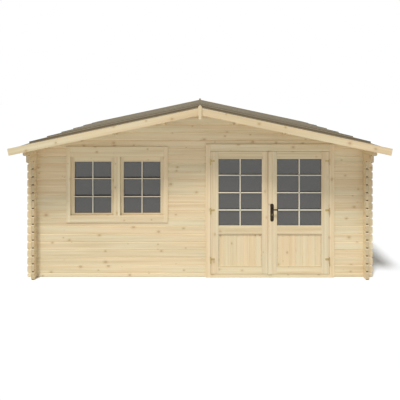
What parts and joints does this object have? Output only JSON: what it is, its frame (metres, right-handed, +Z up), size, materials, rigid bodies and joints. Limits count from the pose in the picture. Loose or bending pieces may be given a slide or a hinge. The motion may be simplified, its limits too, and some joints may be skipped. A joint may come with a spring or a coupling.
{
  "type": "log cabin",
  "caption": "Garden log cabin of notched planks with crossed corners, a low gable roof in felt strips, a glazed double door that opens outward and a double window.",
  "frame": {"origin": "ground level under the middle of the cabin", "axes": "+X to the right seen from the front, +Y from the front to the back, +Z up"},
  "size_m": [5.222, 4.586, 2.5049],
  "materials": {
    "wall_pine": "planed, untreated",
    "roof_pine": "planed, untreated",
    "trim_pine": "planed, untreated",
    "floor_pine": "planed, untreated",
    "joinery_pine": "sanded, untreated",
    "roof_felt": "mineral surfaced bitumen felt",
    "window_glazing": "clear over a dark room",
    "hinge_metal": "yellow zinc plated",
    "handle_metal": "dark bronze"
  },
  "bodies": {
    "cabin": {"front_wall_odd_logs": "wall_pine", "front_wall_even_logs": "wall_pine", "back_wall_odd_logs": "wall_pine", "back_wall_even_logs": "wall_pine", "left_wall_odd_logs": "wall_pine", "left_wall_even_logs": "wall_pine", "right_wall_odd_logs": "wall_pine", "right_wall_even_logs": "wall_pine", "roof_purlins": "roof_pine", "left_roof_deck": "roof_pine", "right_roof_deck": "roof_pine", "left_bargeboards": "trim_pine", "right_bargeboards": "trim_pine", "apex_plates": "trim_pine", "door_casing_uprights": "trim_pine", "door_casing_top": "trim_pine", "window_casing_uprights": "trim_pine", "window_casing_boards": "trim_pine", "floor_bearers": "floor_pine", "floor_boards": "floor_pine", "door_jambs": "joinery_pine", "door_head": "joinery_pine", "door_threshold": "joinery_pine", "window_posts": "joinery_pine", "window_head_and_sill": "joinery_pine", "window_sash_stiles": "joinery_pine", "window_sash_rails": "joinery_pine", "left_roof_felt": "roof_felt", "right_roof_felt": "roof_felt", "window_glass": "window_glazing", "left_hinge_pins": "hinge_metal", "right_hinge_pins": "hinge_metal"},
    "left_leaf": {"left_door_stiles": "joinery_pine", "left_door_rails": "joinery_pine", "left_door_panel": "joinery_pine", "left_door_glass": "window_glazing", "left_hinge_plates": "hinge_metal"},
    "right_leaf": {"right_door_stiles": "joinery_pine", "right_door_rails": "joinery_pine", "right_door_panel": "joinery_pine", "right_door_glass": "window_glazing", "right_hinge_plates": "hinge_metal", "door_handle_plates": "handle_metal", "door_cover_strip": "joinery_pine"},
    "lever": {"door_lever": "handle_metal"}
  },
  "joints": [
    {"name": "left_leaf_hinge", "type": "hinge", "parent": "cabin", "child": "left_leaf", "pos_m": [0.1535, -1.934, 0], "axis": [0, 0, -1], "range_deg": [0, 140]},
    {"name": "right_leaf_hinge", "type": "hinge", "parent": "cabin", "child": "right_leaf", "pos_m": [1.8665, -1.934, 0], "axis": [0, 0, 1], "range_deg": [0, 140]},
    {"name": "lever_turn", "type": "hinge", "parent": "right_leaf", "child": "lever", "pos_m": [1.03925, -1.906, 0.988], "axis": [0, 1, 0], "range_deg": [0, 40], "stiffness_Nm_per_rad": 0.9, "springref_deg": -34.38}
  ]
}
